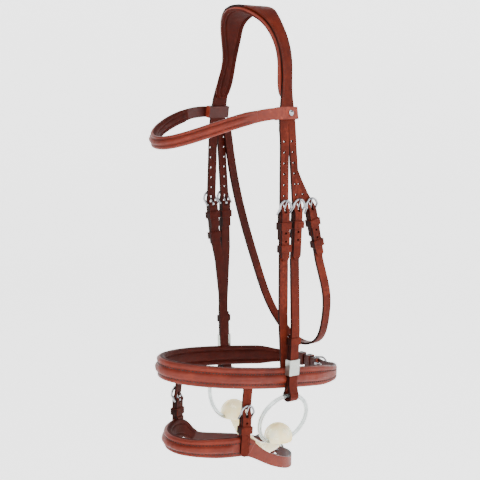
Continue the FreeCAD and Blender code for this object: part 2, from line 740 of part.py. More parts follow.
def noseband(name, band, turns):
    """Outer strap: buckle end, round the right side, nose and left side, and the billet."""
    start = angle_at(band, -CHIN_START + 3)
    stop = angle_at(band, CHIN_START - 8)
    path = [plan_point(band, angle, 0) for angle in spread(start, 360 + stop, turns)]
    place = chin_place(band)
    back = Vector(0, 1, 0)
    across_buckle = [(10.4, 0.0), (0.5, BILLET_OUT), (-12.0, BILLET_OUT)]
    for z, x in across_buckle:
        path.append((place.multVec(Vector(x, 0, z)), back))
    tail_end = angle_at(band, -band["half"] * 0.86)
    tail_start = angle_at(band, -24)
    path += [plan_point(band, angle, BILLET_OUT) for angle in spread(tail_start, tail_end, 4)]
    highs = [band["high"](here.x, here.y) for here, normal in path]
    narrow = size("billet_wide")
    extra = len(across_buckle) + 4
    for i in range(1, extra + 1):
        highs[-i] = narrow
    highs[-extra - 1] = narrow + 0.5
    for i in range(4):
        highs[i] = WIDE
    highs[4] = WIDE + 1.5
    strap = ribbon(path, BILLET, highs)
    end = strap_end(WIDE, CHIN_TURN, CHIN_FLAT)
    slot = prong_slot()
    end.Placement = place
    slot.Placement = place
    feature(name, fuse(strap.cut(slot), end))


def noseband_padding(name, band, first, last, turns, pockets):
    """Lining inside a noseband, with shallow pockets where other straps are stitched in."""
    lining = size("lining")
    path = [plan_point(band, angle, -lining - 2 * LAP) for angle in spread(first, last, turns)]
    highs = [band["high"](here.x, here.y) + 1.5 for here, normal in path]
    pad = ribbon(path, lining, highs)
    for place, low, high in pockets:
        pocket = box(low, high)
        pocket.Placement = place
        pad = pad.cut(pocket)
    feature(name, pad)


# ---------------------------------------------------------------- straps between the bands
TUCK = 2.3                  # thickness of a strap end that is stitched under a noseband
HANGER_SHIFT = 8.0          # the hanger's foot is this far to one side of its buckle


def hanger(side):
    """Noseband hanger: buckle end at the top, its foot stitched under the upper noseband."""
    place = SPOTS["hanger_" + side]
    half = WIDE / 2
    foot = (upper_level(0, 0) + 4) - BAR_Z
    entry = (upper_level(0, 0) + 13.5) - BAR_Z
    thin = band_gap(side)
    if side == "left":
        inner = [(0, -20), (0, -118), (-1.6, -146), (thin - TUCK, entry), (thin - TUCK, foot)]
    else:
        inner = [(0, -20), (0, -54), (-3.6, -77), (-3.6, -150), (thin - TUCK, entry), (thin - TUCK, foot)]
    outer = [(thin, foot), (thin, entry)] + [(x + LEATHER, z) for x, z in reversed(inner[:-2])]
    profile = across(inner + outer, 60)
    shift = HANGER_SHIFT
    outline = [(-half, -19), (-half, -125), (-half + 0.4 * shift, -155), (-half + shift, foot - 1),
               (half + shift, foot - 1), (half + 0.4 * shift, -155), (half, -125), (half, -19)]
    strap = profile.common(outward(outline, -10, 20))
    feature("noseband_hanger_" + side, fuse(strap_end(WIDE), strap), place)


def band_gap(side):
    """Outer face of the hanger's foot in the buckle's frame: just inside the upper noseband."""
    here, normal = plan_point(UPPER, 0, 0)
    return here.x - SIDE - 0.35


LINK_TOP_BACK = 4.0         # the upper end of a link strap stands this far behind its buckle


def link_reach(side):
    """Inner face of a link strap's upper end in its buckle's frame: inside the upper noseband."""
    under, normal = plan_point(UPPER, nose_angle(UPPER, LINK_Y[side] + LINK_TOP_BACK, side), 0)
    foot = SPOTS["link_" + side].inverse().multVec(Vector(under.x, under.y, LINK_Z))
    return foot.x - TUCK - 0.7


LOWEST_HOLE = -6.0          # a link strap's second hole is this far below its bar


def link_strap(side):
    """Short strap from the upper noseband down through the link buckle."""
    place = SPOTS["link_" + side]
    top = 58.0
    tip = -49.0
    narrow = size("billet_wide")
    rise = 10.4
    lean = link_reach(side)
    inner = [(lean, top), (lean, top - 14), (0, rise + 8), (0, rise), (BILLET_OUT, 0.5), (BILLET_OUT, tip)]
    thick = [TUCK, TUCK, BILLET, BILLET, BILLET, BILLET]
    outer = [(x + t, z) for (x, z), t in reversed(list(zip(inner, thick)))]
    profile = across(inner + outer, 60)
    sway = LINK_SWAY[side]
    bend = 12.0
    outline = [(sway - narrow / 2, top), (-narrow / 2, bend)] + list(reversed(billet_tip(narrow, tip)))
    outline += [(narrow / 2, bend), (sway + narrow / 2, top)]
    strap = profile.common(outward(outline, -10, 20))
    holes = [prong_slot()]
    for z in (LOWEST_HOLE,):
        y = sway * max(0.0, z - bend) / (top - bend)
        holes.append(Part.makeCylinder(size("hole_radius"), 30, Vector(-5, y, z), Vector(1, 0, 0)))
    feature("link_strap_" + side, strap.cut(Part.makeCompound(holes)), place)


TAB_IN = 1.2                # a tab's tongue lies this far inside the curved lower noseband


def link_tab(side):
    """Chape that ties a link buckle to the lower noseband."""
    place = SPOTS["link_" + side]
    sign = 1 if side == "left" else -1
    levels = [lower_level(sign, LINK_Y[side] + shift) - LINK_Z for shift in (-7, 0, 7)]
    foot = levels[1] - 4
    top_of_band = max(levels) + 13.0
    blank = strap_end(WIDE)
    upper = blank.common(box((-9, -20, top_of_band), (9, 20, 10)))
    tongue = box((-TUCK - TAB_IN, -WIDE / 2, foot), (-TAB_IN, WIDE / 2, top_of_band + 1))
    feature("link_tab_" + side, fuse(upper, tongue), place)


# ---------------------------------------------------------------- throatlash
def throatlash():
    """Throat strap: stitched inside the right leg, under the throat, up to the left buckle."""
    place = SPOTS["throatlash"]
    points = [(-62.4, 17, -145), (-63.4, 21.5, -168), (-63.8, 31, -216), (-62.3, 47.8, -279),
              (-55.5, 66.5, -344), (-39, 77.5, -396), (-12, 83.5, -427), (18, 85.5, -437.5),
              (44, 84.5, -428), (59.5, 81, -400), (66.5, 76, -364)]
    path = []
    for i, (x, y, z) in enumerate(points):
        back = Vector(*points[max(i - 1, 0)])
        ahead = Vector(*points[min(i + 1, len(points) - 1)])
        run = ahead - back
        side = Vector(0, 1, 0)
        normal = side.cross(run)
        normal = normal if normal.dot(Vector(x, 0, z + 260)) > 0 else normal * -1
        normal.normalize()
        path.append((Vector(x, y, z), normal))
    for z in (-64.0, -46.0, -22.0):
        path.append((place.multVec(Vector(0, 0, z)), place.Rotation.multVec(Vector(1, 0, 0))))
    strap = ribbon(path, LEATHER, [WIDE - 1.5] * len(path))
    end = strap_end(WIDE)
    end.Placement = place
    feature("throatlash", fuse(strap, end))


# ---------------------------------------------------------------- browband
BROW = {"half": 69.0, "long": 133.5, "start": 0.0}
BROW_Z = -129.5
BROW_DIP = 34.0
LOOP_LEAN = 9.8            # the legs of the headpiece lean in by this angle
LOOP_X_PLACE = 66.45


def brow_point(angle, offset):
    """Point and normal of the browband's inner face: 0 is the left loop, 180 the right one."""
    turn = math.radians(angle)
    x = BROW["half"] * math.cos(turn)
    y = BROW["start"] - BROW["long"] * math.sin(turn)
    normal = Vector(math.cos(turn) / BROW["half"], -math.sin(turn) / BROW["long"], 0)
    normal.normalize()
    here = Vector(x, y, 0) + normal * offset
    here.z = BROW_Z - BROW_DIP * max(0.0, (-y - 20.0) / 115.0) ** 1.55
    return here, normal


def browband():
    """Curved browband with a sewn loop at each end round the headpiece."""
    wall = 1.7
    inside = 2.3
    path = [brow_point(angle, 2.2) for angle in spread(3, 177, 25)]
    strap = ribbon(path, 2.6, [14.0] * len(path))
    solids = [strap]
    for side in OUTWARD:
        sign = 1 if side == "left" else -1
        outer = box((-wall - inside, -12, -7.5), (inside + wall, 20.2, 7.5))
        slot = box((-inside, -10.2, -9), (inside, 18.6, 9))
        loop = outer.cut(slot)
        turn = Rotation(Vector(0, 1, 0), -sign * LOOP_LEAN)
        loop.Placement = Placement(Vector(sign * LOOP_X_PLACE, 0, BROW_Z), turn)
        solids.append(loop)
    feature("browband", fuse(*solids))
    lining = [brow_point(angle, -1.5) for angle in spread(22, 161, 19)]
    feature("browband_padding", ribbon(lining, 3.5, [15.0] * len(lining)))
    studs = []
    for side in OUTWARD:
        sign = 1 if side == "left" else -1
        axis = Vector(sign * math.cos(math.radians(LOOP_LEAN)), 0, math.sin(math.radians(LOOP_LEAN)))
        base = Vector(sign * LOOP_X_PLACE, 8.5, BROW_Z) + axis * (inside + 0.05 + wall)
        rim = Part.makeCylinder(3.6, 1.2, base, axis)
        dome = Part.makeSphere(4.6, base - axis * 1.6, axis, 35, 90, 360)
        studs.append(fuse(rim, dome))
    feature("browband_studs", Part.makeCompound(studs))


# ---------------------------------------------------------------- the whole bridle
def link_place(side):
    """Local frame of a link buckle, standing on the lower noseband's inner face."""
    here, normal = plan_point(LOWER, nose_angle(LOWER, LINK_Y[side], side), 0)
    turn = math.degrees(math.atan2(normal.y, normal.x))
    sign = 1 if side == "left" else -1
    return spot(here.x, here.y, LINK_Z, turn, -sign * LINK_LEAN[side])


def build():
    """All sub-parts in their places."""
    for side in OUTWARD:
        SPOTS["link_" + side] = link_place(side)
    headpiece()
    headpiece_padding()
    browband()
    for name, band in CHINS.items():
        SPOTS[name] = chin_place(band)
    noseband("upper_noseband", UPPER, 33)
    noseband("lower_noseband", LOWER, 33)
    upper_pockets = []
    lower_pockets = []
    for side in OUTWARD:
        foot = upper_level(0, 0) + 2 - BAR_Z
        gap = band_gap(side)
        upper_pockets.append((SPOTS["hanger_" + side], (gap - TUCK - 0.3, HANGER_SHIFT - 8.2, foot),
                              (gap + 3, HANGER_SHIFT + 8.2, foot + 30)))
        upper_pockets.append((SPOTS["link_" + side], (link_reach(side) - 0.5, -17, 20), (12, 9, 60)))
        lower_pockets.append((SPOTS["link_" + side], (-TUCK - TAB_IN - 0.3, -8, -60), (4, 8, 0)))
    noseband_padding("upper_noseband_padding", UPPER, 120, 420, 33, upper_pockets)
    noseband_padding("lower_noseband_padding", LOWER, 186, 354, 21, lower_pockets)
    throatlash()
    for side in OUTWARD:
        cheekpiece(side)
        hanger(side)
        link_strap(side)
        link_tab(side)
        bit_ring(side)
    mouthpiece()
    for name, place in SPOTS.items():
        if name in CHINS:
            buckle_set(name, place, chin_keeper_place(CHINS[name]), CURVE_ROOM)
        elif name.startswith(("cheek", "link")):
            buckle_set(name, place)
        else:
            buckle_set(name, place, at(place, 0, RUNNING_KEEPER_Z))


def check_and_export():
    """Stop on a failed object or a bad shape, then write one STEP file for each sub-part."""
    doc.recompute()
    for obj in doc.Objects:
        if "Invalid" in obj.State or "Error" in obj.State:
            raise RuntimeError("failed: " + obj.Name)
    for obj in parts:
        if obj.Shape.isNull() or not obj.Shape.isValid() or obj.Shape.Volume <= 0:
            raise RuntimeError("bad shape: " + obj.Label)
    os.makedirs("parts", exist_ok=True)
    for obj in parts:
        obj.Shape.exportStep("parts/%s.step" % obj.Label)
        print("%-32s solids %d volume %.1f" % (obj.Label, len(obj.Shape.Solids), obj.Shape.Volume))
    print(len(parts), "sub-parts")


build()
check_and_export()
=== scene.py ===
import math
import bmesh
import bpy
import numpy as np
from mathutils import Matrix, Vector


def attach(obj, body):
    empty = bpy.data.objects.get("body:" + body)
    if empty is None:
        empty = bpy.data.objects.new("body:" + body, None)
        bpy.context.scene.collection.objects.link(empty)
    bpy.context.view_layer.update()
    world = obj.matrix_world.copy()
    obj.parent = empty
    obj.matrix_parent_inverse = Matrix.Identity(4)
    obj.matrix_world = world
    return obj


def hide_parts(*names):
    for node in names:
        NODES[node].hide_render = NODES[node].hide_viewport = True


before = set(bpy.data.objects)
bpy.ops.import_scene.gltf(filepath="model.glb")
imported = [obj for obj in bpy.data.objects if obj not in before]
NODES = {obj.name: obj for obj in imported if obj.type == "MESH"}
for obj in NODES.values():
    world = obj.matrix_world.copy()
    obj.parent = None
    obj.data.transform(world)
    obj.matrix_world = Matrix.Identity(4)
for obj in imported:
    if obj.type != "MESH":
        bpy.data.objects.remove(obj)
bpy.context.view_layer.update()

MM = 0.001
LIFT = 5.4              # millimetres that every shape below is raised by, to stand in the frame
ROOT = "headstall"


# ---------------------------------------------------------------- colours and materials
def linear(red, green, blue):
    """sRGB 0-255 to a linear colour with alpha."""
    out = []
    for value in (red, green, blue):
        value /= 255.0
        out.append(value / 12.92 if value <= 0.04045 else ((value + 0.055) / 1.055) ** 2.4)
    return (*out, 1.0)


class Shader:
    """Small helper that builds one node material."""

    def __init__(self, name):
        self.material = bpy.data.materials.new(name)
        self.material.use_nodes = True
        self.tree = self.material.node_tree
        self.bsdf = self.tree.nodes["Principled BSDF"]
        self.place = self.node("ShaderNodeTexCoord")

    def node(self, kind, **inputs):
        made = self.tree.nodes.new(kind)
        for key, value in inputs.items():
            made.inputs[key.replace("_", " ")].default_value = value
        return made

    def link(self, start, end):
        self.tree.links.new(start, end)

    def coords(self, scale=(1, 1, 1)):
        mapping = self.node("ShaderNodeMapping")
        mapping.inputs["Scale"].default_value = scale
        self.link(self.place.outputs["Object"], mapping.inputs["Vector"])
        return mapping.outputs["Vector"]

    def noise(self, scale, detail=3.0, rough=0.55, stretch=(1, 1, 1)):
        made = self.node("ShaderNodeTexNoise", Scale=scale, Detail=detail, Roughness=rough)
        self.link(self.coords(stretch), made.inputs["Vector"])
        return made.outputs["Fac"]

    def cells(self, scale):
        made = self.node("ShaderNodeTexVoronoi", Scale=scale)
        self.link(self.coords(), made.inputs["Vector"])
        return made.outputs["Distance"]

    def ramp(self, source, stops):
        made = self.node("ShaderNodeValToRGB")
        elements = made.color_ramp.elements
        while len(elements) < len(stops):
            elements.new(0.5)
        for element, (where, colour) in zip(elements, stops):
            element.position = where
            element.color = colour
        self.link(source, made.inputs["Fac"])
        return made.outputs["Color"]

    def mix(self, amount, first, second):
        made = self.node("ShaderNodeMix")
        made.data_type = "RGBA"
        for value, index in ((amount, 0), (first, 6), (second, 7)):
            if isinstance(value, (int, float, tuple)):
                made.inputs[index].default_value = value
            else:
                self.link(value, made.inputs[index])
        return made.outputs[2]

    def maths(self, operation, first, second):
        made = self.node("ShaderNodeMath")
        made.operation = operation
        for index, value in enumerate((first, second)):
            if isinstance(value, (int, float)):
                made.inputs[index].default_value = value
            else:
                self.link(value, made.inputs[index])
        return made.outputs[0]

    def span(self, source, low, high, start=0.0, end=1.0):
        made = self.node("ShaderNodeMapRange")
        made.interpolation_type = "SMOOTHSTEP"
        for key, value in (("From Min", low), ("From Max", high), ("To Min", start), ("To Max", end)):
            made.inputs[key].default_value = value
        self.link(source, made.inputs["Value"])
        return made.outputs["Result"]

    def bump(self, height, strength, distance, below=None):
        made = self.node("ShaderNodeBump", Strength=strength, Distance=distance)
        self.link(height, made.inputs["Height"])
        if below is not None:
            self.link(below, made.inputs["Normal"])
        return made.outputs["Normal"]

    def edge_mask(self, axis):
        """1 on the cut edges of a strap, whose normals lie along axis."""
        split = self.node("ShaderNodeSeparateXYZ")
        self.link(self.place.outputs["Normal"], split.inputs[0])
        return self.span(self.maths("ABSOLUTE", split.outputs[axis], 0.0), 0.72, 0.9)

    def head_side_shade_mask(self):
        """1 on faces that look towards the head, where a darker tone is painted as shade."""
        flat = self.node("ShaderNodeVectorMath")
        flat.operation = "NORMALIZE"
        self.link(self.coords((1, 1, 0)), flat.inputs[0])
        facing = self.node("ShaderNodeVectorMath")
        facing.operation = "DOT_PRODUCT"
        self.link(flat.outputs["Vector"], facing.inputs[0])
        self.link(self.place.outputs["Normal"], facing.inputs[1])
        return self.span(facing.outputs["Value"], -0.75, -0.45, 1.0, 0.0)

    def set(self, **values):
        for key, value in values.items():
            self.bsdf.inputs[key.replace("_", " ")].default_value = value


MOTTLE_SCALE = 26               # noise and cell scales, in features across one metre
FINE_SCALE = 240
FOLD_SCALE = 620
PORE_SCALE = 1150
EDGE_COLOUR = (26, 7, 5)        # burnished cut edges


def leather(name, dark, mid, light, rough=0.42, grain=1.0, edge=None, shine=0.16):
    """Dyed bridle leather: pores, soft mottling, worn high spots and dark burnished edges.

    edge is the axis that the cut edges' normals lie along, on straps that show them; on these straps the
    faces towards the head also get a darker tone of painted shade.
    """
    s = Shader(name)
    broad = s.noise(MOTTLE_SCALE, 4, 0.6)
    fine = s.noise(FINE_SCALE, 3, 0.6)
    mottled = s.ramp(s.mix(0.35, broad, fine),
                     [(0.34, linear(*dark)), (0.52, linear(*mid)), (0.70, linear(*light))])
    pores = s.cells(PORE_SCALE)
    folds = s.noise(FOLD_SCALE, 5, 0.65)
    pore_mask = s.span(pores, 0.10, 0.42)
    colour = s.mix(s.span(pore_mask, 0, 1, 0.22, 0.0), mottled, linear(*[c * 0.62 for c in dark]))
    worn = s.node("ShaderNodeNewGeometry").outputs["Pointiness"]
    wear = s.maths("MULTIPLY", s.span(worn, 0.515, 0.56, 0.0, 0.38), s.span(fine, 0.35, 0.65))
    colour = s.mix(wear, colour, linear(*[min(255, c * 1.22 + 8) for c in light]))
    gloss = s.span(fine, 0.3, 0.7, rough - 0.06, rough + 0.09)
    if edge is not None:
        # painted shade: faces that look towards the head get a darker tone
        head_side_shade = s.ramp(s.mix(0.5, broad, fine),
                       [(0.35, linear(*HEAD_SIDE_SHADE_TONES[0])), (0.65, linear(*HEAD_SIDE_SHADE_TONES[1]))])
        colour = s.mix(s.head_side_shade_mask(), colour, head_side_shade)
        colour = s.mix(s.edge_mask(edge), colour, linear(*EDGE_COLOUR))
    s.link(colour, s.bsdf.inputs["Base Color"])
    s.link(gloss, s.bsdf.inputs["Roughness"])
    grain_bump = s.bump(pore_mask, 0.32 * grain, 0.00022)
    s.link(s.bump(folds, 0.30 * grain, 0.00030, grain_bump), s.bsdf.inputs["Normal"])
    s.set(Specular_IOR_Level=shine, Coat_Weight=shine * 0.3, Coat_Roughness=0.3)
    return s.material


def thread(name, colour):
    """Waxed stitching thread with a twist."""
    s = Shader(name)
    twist = s.noise(1500, 2, 0.5, (1, 1, 3))
    s.link(s.ramp(twist, [(0.35, linear(*[c * 0.7 for c in colour])), (0.65, linear(*colour))]),
           s.bsdf.inputs["Base Color"])
    s.link(s.bump(twist, 0.5, 0.0002), s.bsdf.inputs["Normal"])
    s.set(Roughness=0.6)
    return s.material


def metal(name, colour, low, high, brushed=0.0):
    """Plated metal with faint handling marks."""
    s = Shader(name)
    marks = s.noise(330, 5, 0.7)
    s.link(s.ramp(marks, [(0.3, linear(*[c * 0.9 for c in colour])), (0.7, linear(*colour))]),
           s.bsdf.inputs["Base Color"])
    s.link(s.span(marks, 0.3, 0.7, low, high), s.bsdf.inputs["Roughness"])
    scratches = s.noise(900, 3, 0.6, (6.0, 6.0, 0.15) if brushed else (1, 1, 1))
    s.link(s.bump(scratches, 0.06 + brushed, 0.0001), s.bsdf.inputs["Normal"])
    s.set(Metallic=1.0)
    return s.material


def clear_plastic(name):
    """Hard clear plastic of the bit rings, a little cloudy."""
    s = Shader(name)
    haze = s.noise(90, 3, 0.5)
    s.link(s.ramp(haze, [(0.3, linear(164, 173, 171)), (0.7, linear(206, 212, 210))]),
           s.bsdf.inputs["Base Color"])
    s.link(s.span(haze, 0.3, 0.7, 0.05, 0.16), s.bsdf.inputs["Roughness"])
    s.link(s.bump(s.noise(260, 2, 0.5), 0.08, 0.0004), s.bsdf.inputs["Normal"])
    s.set(Transmission_Weight=0.86, IOR=1.42, Coat_Weight=0.4, Coat_Roughness=0.08)
    return s.material


def amber_plastic(name):
    """Milky flexible plastic of the mouthpiece."""
    s = Shader(name)
    cloud = s.noise(55, 4, 0.6)
    s.link(s.ramp(cloud, [(0.32, linear(251, 218, 150)), (0.5, linear(255, 236, 186)),
                          (0.7, linear(255, 248, 220))]), s.bsdf.inputs["Base Color"])
    s.link(s.span(cloud, 0.3, 0.7, 0.14, 0.30), s.bsdf.inputs["Roughness"])
    s.link(s.bump(s.noise(420, 3, 0.5), 0.10, 0.0004), s.bsdf.inputs["Normal"])
    s.set(Transmission_Weight=0.25, IOR=1.40, Subsurface_Weight=0.45, Subsurface_Scale=0.01,
          Subsurface_Radius=(1.0, 0.7, 0.4), Coat_Weight=0.35, Coat_Roughness=0.12)
    return s.material


# dark, middle and light tone of each leather: the level straps get a lit copy of one leather (painted light),
# the upright straps and the lining darker copies (painted shade), and faces towards the head two tones of
# painted shade
LIT_LEVEL_TONES = ((74, 22, 12), (94, 31, 18), (112, 42, 26))
SHADED_UPRIGHT_TONES = ((56, 15, 8), (73, 23, 13), (90, 33, 20))
SHADED_LINING_TONES = ((38, 8, 4), (50, 12, 6), (62, 18, 9))
HEAD_SIDE_SHADE_TONES = ((40, 9, 5), (56, 15, 8))
DULL = 0.04
AXIS_Y, AXIS_Z = 1, 2
# painted light and shade: the upright straps get a darker, shaded copy of the leather and the level straps a
# lighter, lit copy
upright_shaded = leather("strap_leather_shaded_copy", *SHADED_UPRIGHT_TONES, edge=AXIS_Y, shine=DULL)
level = leather("strap_leather_lit_copy", *LIT_LEVEL_TONES, edge=AXIS_Z)
soft = leather("padded_leather", *LIT_LEVEL_TONES, rough=0.46, grain=1.3)
# the lining is real, and its darker tone is painted shade on faces towards the head
lined_shaded = leather("lining_leather", *SHADED_LINING_TONES, rough=0.55, grain=1.5, shine=DULL)
stitch = thread("thread_brown", (9, 3, 2))
polished = metal("buckle_metal", (150, 150, 154), 0.08, 0.2)
satin = metal("clip_metal", (176, 180, 172), 0.26, 0.40, 0.10)
clear = clear_plastic("clear_plastic")
amber = amber_plastic("amber_plastic")


# ---------------------------------------------------------------- carried-over CAD nodes
BEVEL = 0.00045                 # rounding of a strap's edges, in metres
CLIP_BEVEL = 0.00035
LEVEL_STRAPS = ("upper_noseband", "lower_noseband", "browband")
CHIN_KEEPERS = ("noseband_k", "noseband_r", "lower_noseband_k", "lower_noseband_r")


def dress(name, material, bevel):
    """Material, smooth shading and rounded edges for a CAD node."""
    node = NODES[name]
    node.data.materials.clear()
    node.data.materials.append(material)
    node.data.polygons.foreach_set("use_smooth", [True] * len(node.data.polygons))
    if bevel:
        weld = node.modifiers.new("weld", "WELD")
        weld.merge_threshold = 0.00001
        round_off = node.modifiers.new("round", "BEVEL")
        round_off.width = bevel
        round_off.segments = 3
        round_off.limit_method = "ANGLE"
        round_off.angle_limit = math.radians(35)
        round_off.harden_normals = False
        flat = node.modifiers.new("normals", "WEIGHTED_NORMAL")
        flat.keep_sharp = False


def choose(name):
    """(material, bevel) of a CAD node."""
    if name.endswith(("_buckle", "_prong")) or name == "browband_studs":
        return polished, 0.0
    if name.startswith("bit_clip"):
        return satin, CLIP_BEVEL
    if name.startswith("bit_ring"):
        return clear, 0.0
    if name == "mouthpiece":
        return amber, 0.0
    # level straps and chin keepers take the lit copy of the leather, all other straps the shaded copy
    # (painted light and shade)
    if name in LEVEL_STRAPS or name.startswith(CHIN_KEEPERS):
        return level, BEVEL
    return upright_shaded, BEVEL


for node_name in NODES:
    dress(node_name, *choose(node_name))


# ---------------------------------------------------------------- curves through points
def smooth_curve(points, count):
    """Natural cubic spline through points, sampled evenly by chord length."""
    points = np.array(points, float)
    steps = np.r_[0, np.cumsum(np.linalg.norm(np.diff(points, axis=0), axis=1))]
    size = len(points)
    gap = np.diff(steps)
    rows = np.zeros((size, size))
    right = np.zeros((size, points.shape[1]))
    rows[0, 0] = rows[-1, -1] = 1
    for i in range(1, size - 1):
        rows[i, i - 1] = gap[i - 1]
        rows[i, i] = 2 * (gap[i - 1] + gap[i])
        rows[i, i + 1] = gap[i]
        right[i] = 6 * ((points[i + 1] - points[i]) / gap[i] - (points[i] - points[i - 1]) / gap[i - 1])
    bend = np.linalg.solve(rows, right)
    out = []
    for t in np.linspace(0, steps[-1], count):
        i = min(np.searchsorted(steps, t, side="right") - 1, size - 2)
        low, high = steps[i + 1] - t, t - steps[i]
        g = gap[i]
        out.append(bend[i] * low ** 3 / (6 * g) + bend[i + 1] * high ** 3 / (6 * g)
                   + (points[i] / g - bend[i] * g / 6) * low
                   + (points[i + 1] / g - bend[i + 1] * g / 6) * high)
    return np.array(out)


def closed_curve(points, per_side):
    """Catmull-Rom through a closed list of points."""
    points = [np.array(p, float) for p in points]
    count = len(points)
    out = []
    for i in range(count):
        a, b, c, d = (points[(i + k) % count] for k in (-1, 0, 1, 2))
        for j in range(per_side):
            t = j / per_side
            out.append(0.5 * (2 * b + (c - a) * t + (2 * a - 5 * b + 4 * c - d) * t * t
                              + (3 * b - a - 3 * c + d) * t ** 3))
    return out


def ease(value, start, end):
    """Smooth step from 0 at start to 1 at end."""
    share = min(1.0, max(0.0, (value - start) / (end - start)))
    return share * share * (3 - 2 * share)


def make_mesh(name, verts, faces, materials, body, material_index=None):
    """Smooth mesh object from points in millimetres."""
    data = bpy.data.meshes.new(name)
    data.from_pydata([(v[0] * MM, v[1] * MM, (v[2] + LIFT) * MM) for v in verts], [], faces)
    for material in materials:
        data.materials.append(material)
    data.polygons.foreach_set("use_smooth", [True] * len(data.polygons))
    if material_index is not None:
        data.polygons.foreach_set("material_index", material_index)
    data.validate()
    made = bpy.data.objects.new(name, data)
    bpy.context.scene.collection.objects.link(made)
    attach(made, body)
    return made


def sweep(name, frames, profiles, body, inner_from):
    """Closed profile along frames of (point, u direction, v direction), with flat end caps.

    The outer leather covers the profile up to its point inner_from, and the lining, in its darker tone of
    painted shade, the rest.
    """
    count = len(profiles[0])
    verts = []
    for (point, u_dir, v_dir), profile in zip(frames, profiles):
        for u, v in profile:
            verts.append(point + u_dir * u + v_dir * v)
    faces, index = [], []
    for i in range(len(frames) - 1):
        for j in range(count):
            k = (j + 1) % count
            faces.append((i * count + j, i * count + k, (i + 1) * count + k, (i + 1) * count + j))
            index.append(1 if j >= inner_from else 0)
    for i, flip in ((0, True), (len(frames) - 1, False)):
        ring = [i * count + j for j in range(count)]
        centre = sum(verts[j] for j in ring) / count
        verts.append(centre)
        for j in range(count):
            pair = (ring[j], ring[(j + 1) % count])
            faces.append((pair[1], pair[0], len(verts) - 1) if flip else (pair[0], pair[1], len(verts) - 1))
            index.append(0)
    made = make_mesh(name, verts, faces, [soft, lined_shaded], body, index)
    work = bmesh.new()
    work.from_mesh(made.data)
    bmesh.ops.recalc_face_normals(work, faces=work.faces)
    work.to_mesh(made.data)
    work.free()
    return made


STITCH_SINK = 0.1
STITCH_SLANT = math.radians(7.0)
STITCH_SIDES = 6
STITCH_RINGS = ((-0.5, 0.25), (-0.42, 0.85), (0.0, 1.0), (0.42, 0.85), (0.5, 0.25))


def stitches(name, line, normals, body, pitch=4.2, length=2.7, radius=0.85):
    """Row of saddle stitches lying on a surface along a line of points."""
    line = np.array(line, float)
    normals = np.array(normals, float)
    steps = np.r_[0, np.cumsum(np.linalg.norm(np.diff(line, axis=0), axis=1))]
    verts, faces = [], []
    for t in np.arange(pitch / 2, steps[-1], pitch):
        def at(value):
            return np.array([np.interp(value, steps, line[:, k]) for k in range(3)])
        along = at(min(t + 1.0, steps[-1])) - at(max(t - 1.0, 0.0))
        along /= np.linalg.norm(along)
        normal = np.array([np.interp(t, steps, normals[:, k]) for k in range(3)])
        normal /= np.linalg.norm(normal)
        side = np.cross(normal, along)
        side /= np.linalg.norm(side)
        cos, sin = math.cos(STITCH_SLANT), math.sin(STITCH_SLANT)
        along, side = along * cos + side * sin, side * cos - along * sin
        middle = at(t) + normal * (-STITCH_SINK)
        first = len(verts)
        for where, wide in STITCH_RINGS:
            drop = 0.35 * (abs(where) / 0.5) ** 2
            for k in range(STITCH_SIDES):
                a = 2 * math.pi * k / STITCH_SIDES
                verts.append(middle + along * (where * length) + side * (math.cos(a) * radius * wide)
                             + normal * (math.sin(a) * radius * wide - drop))
        for r in range(len(STITCH_RINGS) - 1):
            near, far = first + r * STITCH_SIDES, first + (r + 1) * STITCH_SIDES
            for k in range(STITCH_SIDES):
                n = (k + 1) % STITCH_SIDES
                faces.append((near + k, near + n, far + n, far + k))
        last = first + (len(STITCH_RINGS) - 1) * STITCH_SIDES
        faces.append(tuple(first + k for k in reversed(range(STITCH_SIDES))))
        faces.append(tuple(last + k for k in range(STITCH_SIDES)))
    return make_mesh(name, verts, faces, [stitch], body)


# ---------------------------------------------------------------- nosebands
UPPER = {"half": 66.9, "front": 134.4, "back": 123.0, "middle": 3.0, "square": 3.5}
LOWER = {"half": 58.4, "front": 89.0, "back": 77.0, "middle": -32.0, "square": 3.5}
TAB_Y = {"left": -52.6, "right": -75.0}
DROP = {
    "left": [(-121, 2.2), (-90, 1.2), (-68, 0), (-56, -1), (-46, -5), (-28, -19), (-4, -32), (22, -42.5),
             (45, -45.5)],
    "right": [(-121, 2.2), (-100, 1.5), (-82, -0.5), (-66, -7), (-48, -21), (-31, -29), (6, -39), (32, -44.5),
              (45, -45.5)],
}


def hang(points, y):
    """Smooth line through (y, drop) points, level before the first and after the last."""
    y = min(max(y, points[0][0]), points[-1][0])
    i = max(k for k in range(len(points) - 1) if points[k][0] <= y)
    slopes = []
    for k in (i, i + 1):
        before, after = points[max(k - 1, 0)], points[min(k + 1, len(points) - 1)]
        slopes.append((after[1] - before[1]) / (after[0] - before[0]))
    (start, low), (stop, high) = points[i], points[i + 1]
    run = stop - start
    t = (y - start) / run
    return (low * (1 + 2 * t) * (1 - t) ** 2 + high * t * t * (3 - 2 * t)
            + run * t * (1 - t) * (slopes[0] * (1 - t) - slopes[1] * t))


def side_of(x):
    """Which leg of a side-dependent table holds at x."""
    return "left" if x > 0 else "right"


UPPER["level"] = lambda x, y: -460.0 - 0.157 * y
LOWER["level"] = lambda x, y: -539.0 + hang(DROP[side_of(x)], y)


